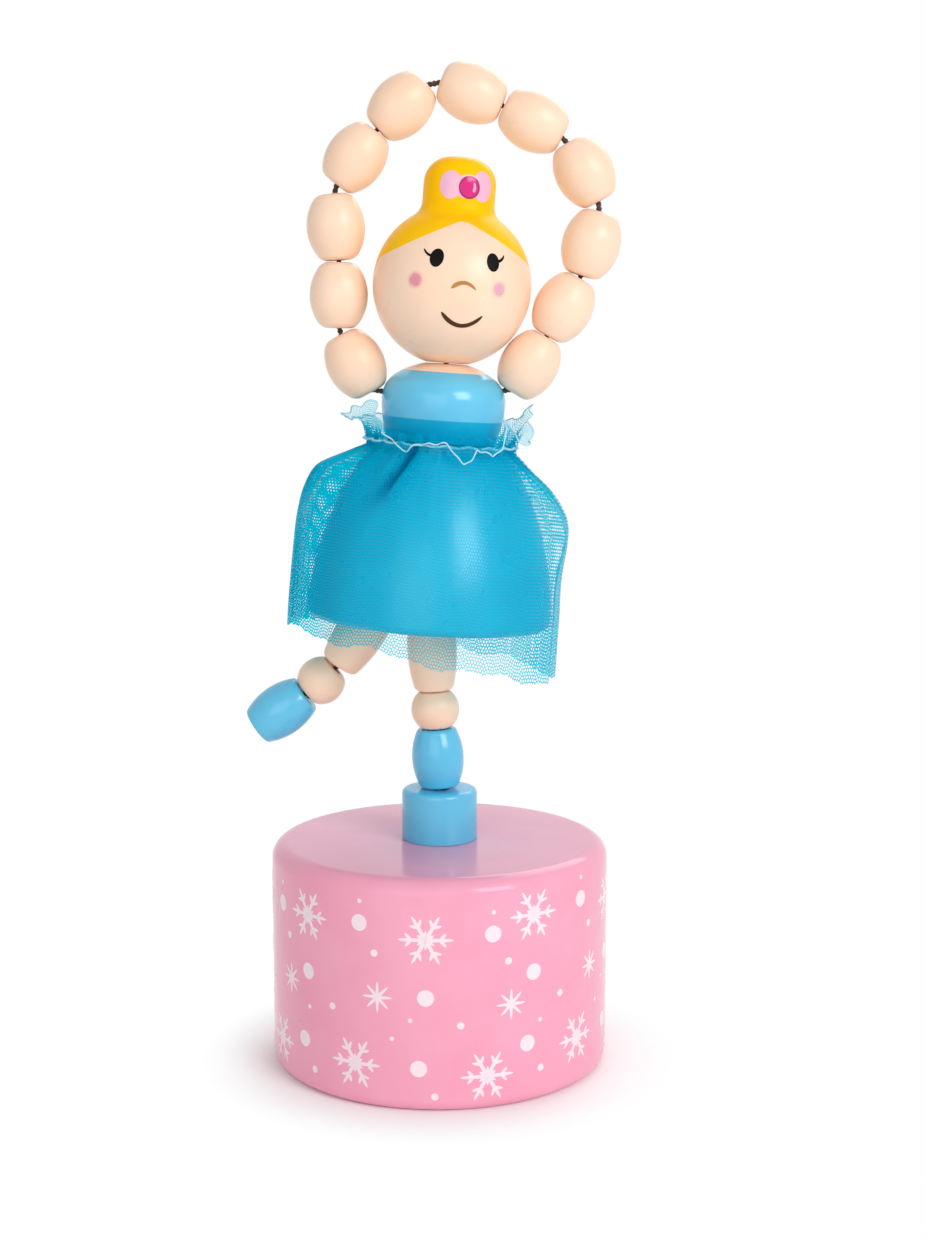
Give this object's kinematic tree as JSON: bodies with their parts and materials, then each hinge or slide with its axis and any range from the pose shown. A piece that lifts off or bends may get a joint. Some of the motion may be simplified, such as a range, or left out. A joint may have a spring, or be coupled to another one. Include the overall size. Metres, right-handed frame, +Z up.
{
  "type": "push puppet",
  "caption": "Strung wooden doll in a net skirt on a drum base; pressing the sprung button under the base slackens the cords, so the doll bows, nods and drops its arms and raised leg.",
  "frame": {"origin": "centre of the drum's foot, on the surface that it stands on", "axes": "+Z up along the drum's axis, -Y the way the doll faces, +X the doll's left"},
  "size_m": [0.0549, 0.05, 0.1465],
  "materials": {
    "pink_lacquer": "gloss lacquer with a white print",
    "blue_lacquer": "gloss lacquer",
    "turquoise_lacquer": "gloss lacquer",
    "bodice_lacquer": "gloss lacquer, skin-coloured at the neck",
    "skin_lacquer": "satin gloss lacquer",
    "head_lacquer": "gloss lacquer with painted hair and face",
    "bare_birch": "turned, unpainted",
    "spring_steel": "drawn wire",
    "tulle": "fine net",
    "tulle_thread": "sewing thread",
    "twine": "twisted cord"
  },
  "bodies": {
    "base": {"base_drum": "pink_lacquer", "base_peg": "blue_lacquer", "return_spring": "spring_steel", "base_cords": "twine"},
    "button": {"push_button": "bare_birch", "button_knot": "twine"},
    "standing_shoe": {"standing_shoe": "blue_lacquer", "standing_shoe_cords": "twine"},
    "standing_ankle": {"standing_ankle": "skin_lacquer", "standing_ankle_cords": "twine"},
    "standing_thigh": {"standing_thigh": "skin_lacquer", "standing_thigh_cords": "twine"},
    "dress": {"dress_bell": "turquoise_lacquer", "dress_cords": "twine", "tulle_skirt": "tulle", "waist_thread": "tulle_thread"},
    "bodice": {"bodice": "bodice_lacquer", "bodice_cords": "twine"},
    "head": {"head": "head_lacquer", "head_cord": "twine"},
    "raised_thigh": {"raised_thigh": "skin_lacquer", "raised_thigh_cord": "twine"},
    "raised_ankle": {"raised_ankle": "skin_lacquer", "raised_ankle_cord": "twine"},
    "raised_shoe": {"raised_shoe": "blue_lacquer", "raised_shoe_cord": "twine"},
    "arm_pair_1": {"arm_bead_1": "skin_lacquer", "arm_bead_11": "skin_lacquer", "arm_cord_1": "twine", "arm_cord_11": "twine"},
    "arm_pair_2": {"arm_bead_2": "skin_lacquer", "arm_bead_10": "skin_lacquer", "arm_cord_2": "twine", "arm_cord_10": "twine"},
    "arm_pair_3": {"arm_bead_3": "skin_lacquer", "arm_bead_9": "skin_lacquer", "arm_cord_3": "twine", "arm_cord_9": "twine"},
    "arm_pair_4": {"arm_bead_4": "skin_lacquer", "arm_bead_8": "skin_lacquer", "arm_cord_4": "twine", "arm_cord_8": "twine"},
    "arm_top": {"arm_bead_5": "skin_lacquer", "arm_bead_6": "skin_lacquer", "arm_bead_7": "skin_lacquer", "arm_cord_5": "twine", "arm_cord_6": "twine", "arm_cord_7": "twine"}
  },
  "joints": [
    {"name": "button_push", "type": "slide", "parent": "base", "child": "button", "axis": [0, 0, 1], "range_m": [0, 0.007], "stiffness_N_per_m": 400, "springref_m": 0.0001, "deforming": ["return_spring", "base_cords"]},
    {"name": "standing_shoe_bow", "type": "hinge", "parent": "base", "child": "standing_shoe", "pos_m": [-0.00001, -0.0028, 0.04127], "axis": [1, 0, 0], "range_deg": [0, 20], "stiffness_Nm_per_rad": 0.8, "springref_deg": 0.04},
    {"name": "standing_ankle_bow", "type": "hinge", "parent": "standing_shoe", "child": "standing_ankle", "pos_m": [-0.00047, -0.00225, 0.05017], "axis": [1, 0, 0], "range_deg": [0, 18], "stiffness_Nm_per_rad": 0.7, "springref_deg": 0.04},
    {"name": "standing_thigh_bow", "type": "hinge", "parent": "standing_ankle", "child": "standing_thigh", "pos_m": [-0.00077, -0.0021, 0.05579], "axis": [1, 0, 0], "range_deg": [0, 18], "stiffness_Nm_per_rad": 0.6, "springref_deg": 0.04},
    {"name": "dress_bow", "type": "hinge", "parent": "standing_thigh", "child": "dress", "pos_m": [-0.00141, -0.0021, 0.06855], "axis": [1, 0, 0], "range_deg": [0, 20], "stiffness_Nm_per_rad": 0.4, "springref_deg": 0.06},
    {"name": "bodice_bow", "type": "hinge", "parent": "dress", "child": "bodice", "pos_m": [0.00026, -0.0078, 0.09251], "axis": [1, 0, 0], "range_deg": [0, 8], "stiffness_Nm_per_rad": 0.15, "springref_deg": 0.23},
    {"name": "head_nod", "type": "hinge", "parent": "bodice", "child": "head", "pos_m": [0.00106, -0.003, 0.10393], "axis": [1, 0, 0], "range_deg": [0, 20], "stiffness_Nm_per_rad": 0.04, "springref_deg": 0.17},
    {"name": "raised_thigh_drop", "type": "hinge", "parent": "dress", "child": "raised_thigh", "pos_m": [-0.00626, 0, 0.06863], "axis": [0, -1, 0], "range_deg": [0, 25], "stiffness_Nm_per_rad": 0.008, "springref_deg": -0.55},
    {"name": "raised_ankle_drop", "type": "hinge", "parent": "raised_thigh", "child": "raised_ankle", "pos_m": [-0.01406, 0, 0.05739], "axis": [0, -1, 0], "range_deg": [0, 20], "stiffness_Nm_per_rad": 0.003, "springref_deg": -0.51},
    {"name": "raised_shoe_drop", "type": "hinge", "parent": "raised_ankle", "child": "raised_shoe", "pos_m": [-0.01858, 0, 0.05343], "axis": [0, -1, 0], "range_deg": [0, 15], "stiffness_Nm_per_rad": 0.0012, "springref_deg": -0.56},
    {"name": "arm_pair_1_drop", "type": "hinge", "parent": "bodice", "child": "arm_pair_1", "pos_m": [-0.00987, -0.0015, 0.09964], "axis": [1, 0, 0.0018], "range_deg": [0, 12], "stiffness_Nm_per_rad": 0.04, "springref_deg": 0.06},
    {"name": "arm_pair_2_drop", "type": "hinge", "parent": "arm_pair_1", "child": "arm_pair_2", "pos_m": [-0.01452, -0.0015, 0.1089], "axis": [0.9993, 0, -0.0365], "range_deg": [0, 14], "stiffness_Nm_per_rad": 0.03, "springref_deg": 0.07},
    {"name": "arm_pair_3_drop", "type": "hinge", "parent": "arm_pair_2", "child": "arm_pair_3", "pos_m": [-0.01436, -0.0015, 0.11858], "axis": [0.998, 0, -0.0629], "range_deg": [0, 15], "stiffness_Nm_per_rad": 0.018, "springref_deg": 0.09},
    {"name": "arm_pair_4_drop", "type": "hinge", "parent": "arm_pair_3", "child": "arm_pair_4", "pos_m": [-0.01477, -0.0015, 0.12935], "axis": [0.998, 0, -0.0636], "range_deg": [0, 14], "stiffness_Nm_per_rad": 0.008, "springref_deg": 0.14},
    {"name": "arm_top_drop", "type": "hinge", "parent": "arm_pair_4", "child": "arm_top", "pos_m": [-0.00873, -0.0015, 0.13703], "axis": [0.9992, 0, -0.0403], "range_deg": [0, 9], "stiffness_Nm_per_rad": 0.0025, "springref_deg": 0.37}
  ]
}
